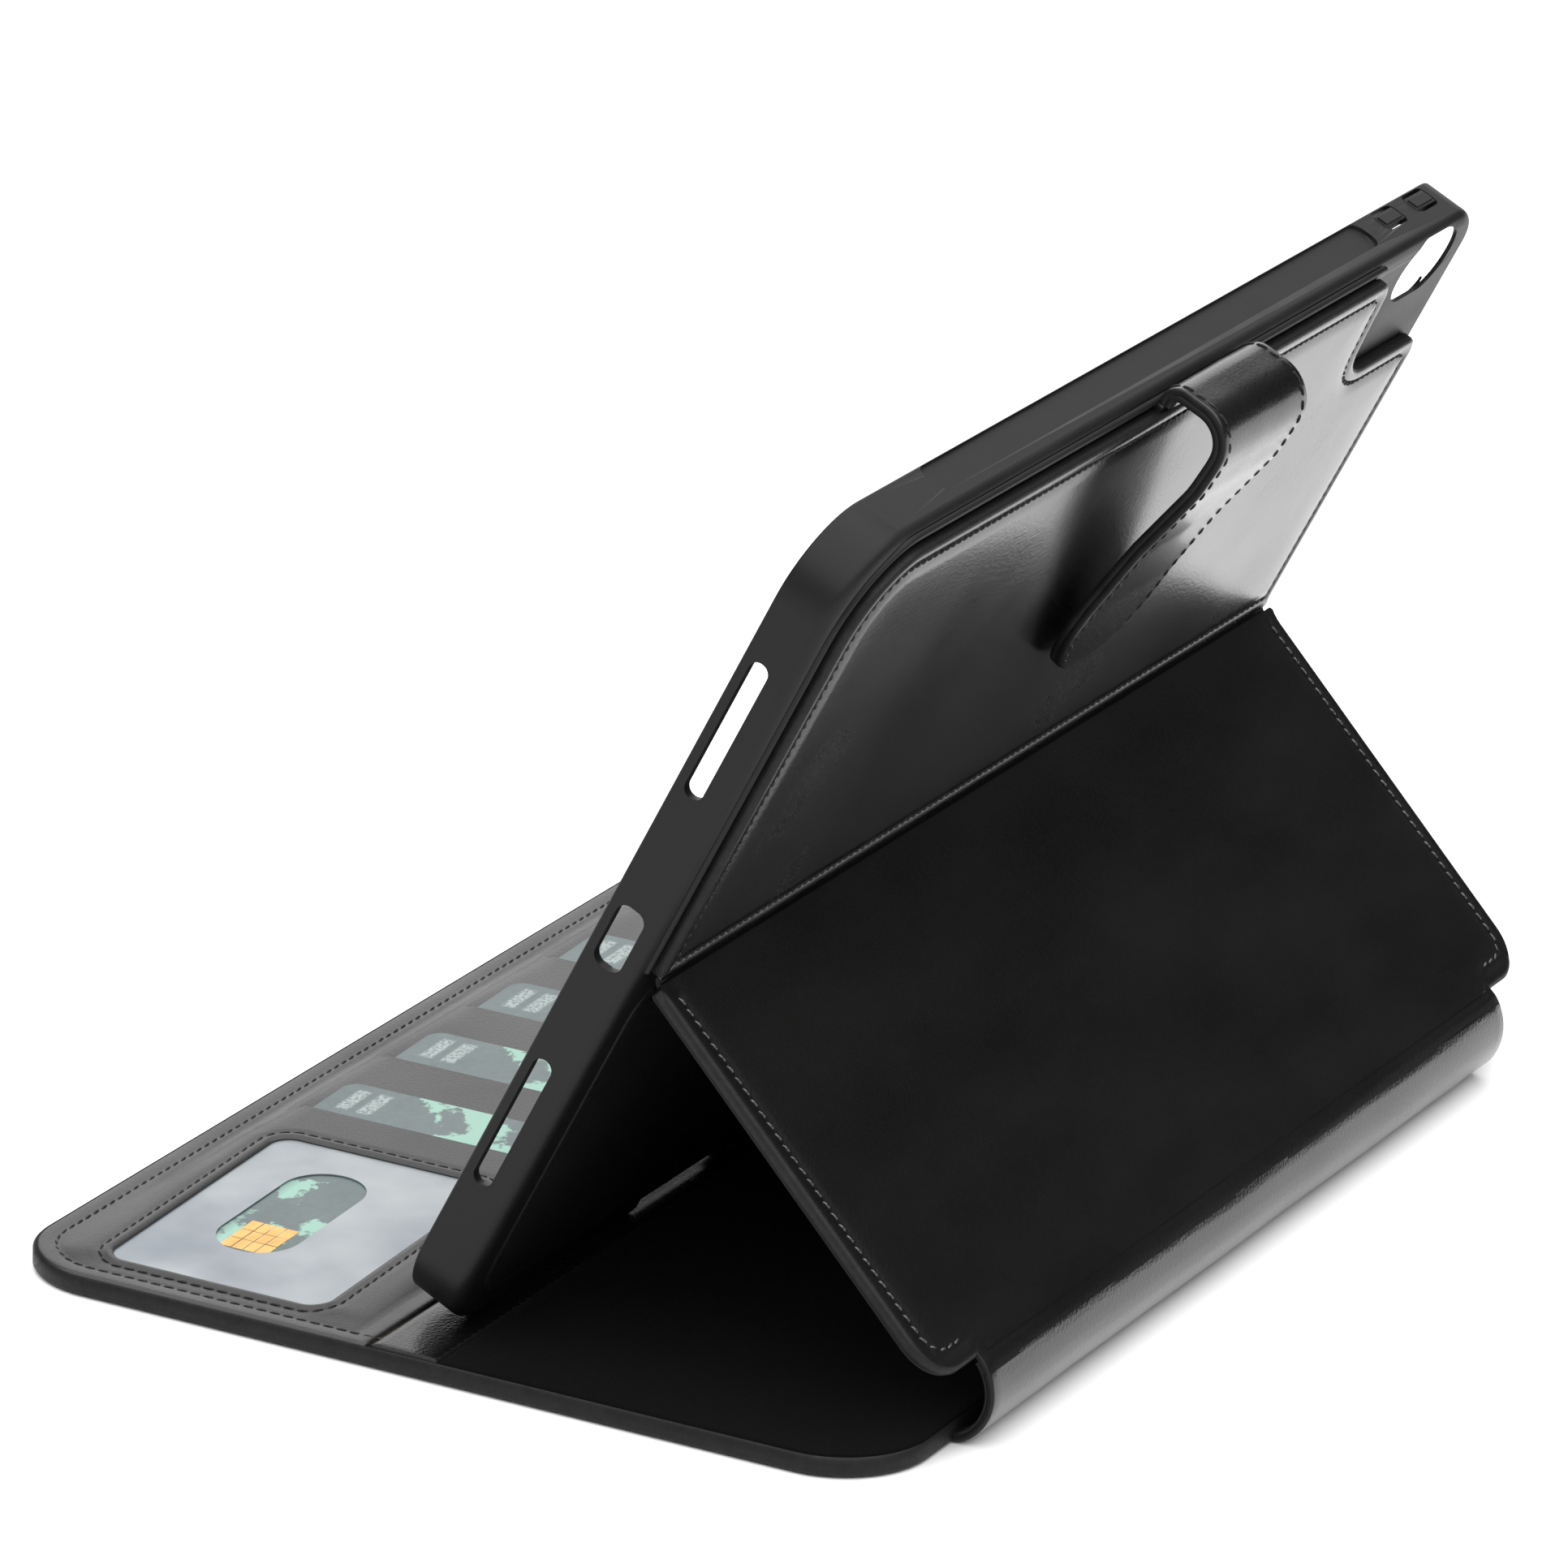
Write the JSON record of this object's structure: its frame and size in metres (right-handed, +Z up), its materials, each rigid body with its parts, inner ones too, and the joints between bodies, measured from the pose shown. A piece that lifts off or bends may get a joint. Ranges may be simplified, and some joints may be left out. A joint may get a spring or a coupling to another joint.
{
  "type": "tablet case",
  "caption": "Folding leather tablet case standing as a stand: clip-in tray, creased kickstand back, soft spine, card-pocket front cover, magnetic closure strap.",
  "frame": {"origin": "on the floor, under the middle of the standing case's bounding box", "axes": "+X along the hinge lines, away from the camera corner; -Y towards the cover's free edge; +Z up"},
  "size_m": [0.269, 0.1916, 0.1727],
  "materials": {
    "outer_leather": "glossy smooth black leather with a fine grain",
    "inner_leather": "satin black leather with a fine grain",
    "suede": "dark napped suede",
    "microfibre": "short microfibre nap",
    "tray_tpu": "satin black moulded thermoplastic rubber",
    "card_plastic": "laminated printed card",
    "clear_film": "hazy clear vinyl film",
    "board": "grey stiffening board",
    "foam": "thin padding",
    "magnet": "plated neodymium",
    "steel": "thin sheet steel"
  },
  "bodies": {
    "front_cover": {"cover_outer_leather": "outer_leather", "cover_board": "board", "cover_magnets": "magnet", "cover_suede_lining": "suede", "cover_landing_strip": "inner_leather", "document_pocket_panel": "inner_leather", "pocket_backing": "inner_leather", "card_pocket_2": "inner_leather", "card_pocket_3": "inner_leather", "card_pocket_4": "inner_leather", "card_pocket_5": "inner_leather", "window_pocket_panel": "inner_leather", "window_film": "clear_film"},
    "spine": {"spine_leather": "outer_leather", "spine_lining": "suede"},
    "kickstand": {"kick_leather": "outer_leather", "kick_board": "board", "kick_magnets": "magnet", "kick_lining": "suede"},
    "tray": {"tray_shell": "tray_tpu", "tray_lining": "microfibre", "tray_steel_plate": "steel", "back_inlay": "suede", "upper_panel_leather": "outer_leather", "upper_panel_board": "board", "upper_panel_foam": "foam", "strap_anchor": "inner_leather"},
    "strap_neck": {"strap_neck_leather": "outer_leather", "strap_neck_backing": "inner_leather"},
    "strap_tab": {"strap_tab_leather": "outer_leather", "strap_tab_backing": "inner_leather", "strap_magnets": "magnet"},
    "volume_up_button": {"volume_up_button": "tray_tpu"},
    "volume_down_button": {"volume_down_button": "tray_tpu"},
    "card_1": {"card_1": "card_plastic"},
    "card_2": {"card_2": "card_plastic"},
    "card_3": {"card_3": "card_plastic"},
    "card_4": {"card_4": "card_plastic"},
    "card_5": {"card_5": "card_plastic"}
  },
  "joints": [
    {"name": "spine_fold", "type": "hinge", "parent": "front_cover", "child": "spine", "pos_m": [0, 0.089, 0.0007], "axis": [1, 0, 0], "range_deg": [-90, 0]},
    {"name": "kick_fold", "type": "hinge", "parent": "spine", "child": "kickstand", "pos_m": [0, 0.0924, 0.0179], "axis": [1, 0, 0], "range_deg": [-43.13, 0]},
    {"name": "crease_fold", "type": "hinge", "parent": "kickstand", "child": "tray", "pos_m": [0, 0.03381, 0.08041], "axis": [1, 0, 0], "range_deg": [0, 69.4]},
    {"name": "strap_root_fold", "type": "hinge", "parent": "tray", "child": "strap_neck", "pos_m": [0, 0.07334, 0.16695], "axis": [1, 0, 0], "range_deg": [0, 70]},
    {"name": "strap_tab_fold", "type": "hinge", "parent": "strap_neck", "child": "strap_tab", "pos_m": [0, 0.08641, 0.15592], "axis": [1, 0, 0], "range_deg": [0, 170]},
    {"name": "volume_up_press", "type": "slide", "parent": "tray", "child": "volume_up_button", "axis": [0, -0.4431, -0.8965], "range_m": [0, 0.0006], "stiffness_N_per_m": 300},
    {"name": "volume_down_press", "type": "slide", "parent": "tray", "child": "volume_down_button", "axis": [0, -0.4431, -0.8965], "range_m": [0, 0.0006], "stiffness_N_per_m": 300},
    {"name": "card_1_slide", "type": "slide", "parent": "front_cover", "child": "card_1", "axis": [-0.9993, 0, 0.0378], "range_m": [0, 0.06]},
    {"name": "card_2_slide", "type": "slide", "parent": "front_cover", "child": "card_2", "axis": [-0.9993, 0, 0.0378], "range_m": [0, 0.06]},
    {"name": "card_3_slide", "type": "slide", "parent": "front_cover", "child": "card_3", "axis": [-0.9993, 0, 0.0378], "range_m": [0, 0.06]},
    {"name": "card_4_slide", "type": "slide", "parent": "front_cover", "child": "card_4", "axis": [-0.9993, 0, 0.0378], "range_m": [0, 0.06]},
    {"name": "card_5_slide", "type": "slide", "parent": "front_cover", "child": "card_5", "axis": [-0.9993, 0, 0.0378], "range_m": [0, 0.06]}
  ],
  "couplings": [
    {"joint": "kick_fold", "follows": "crease_fold", "ratio": -0.6213}
  ]
}
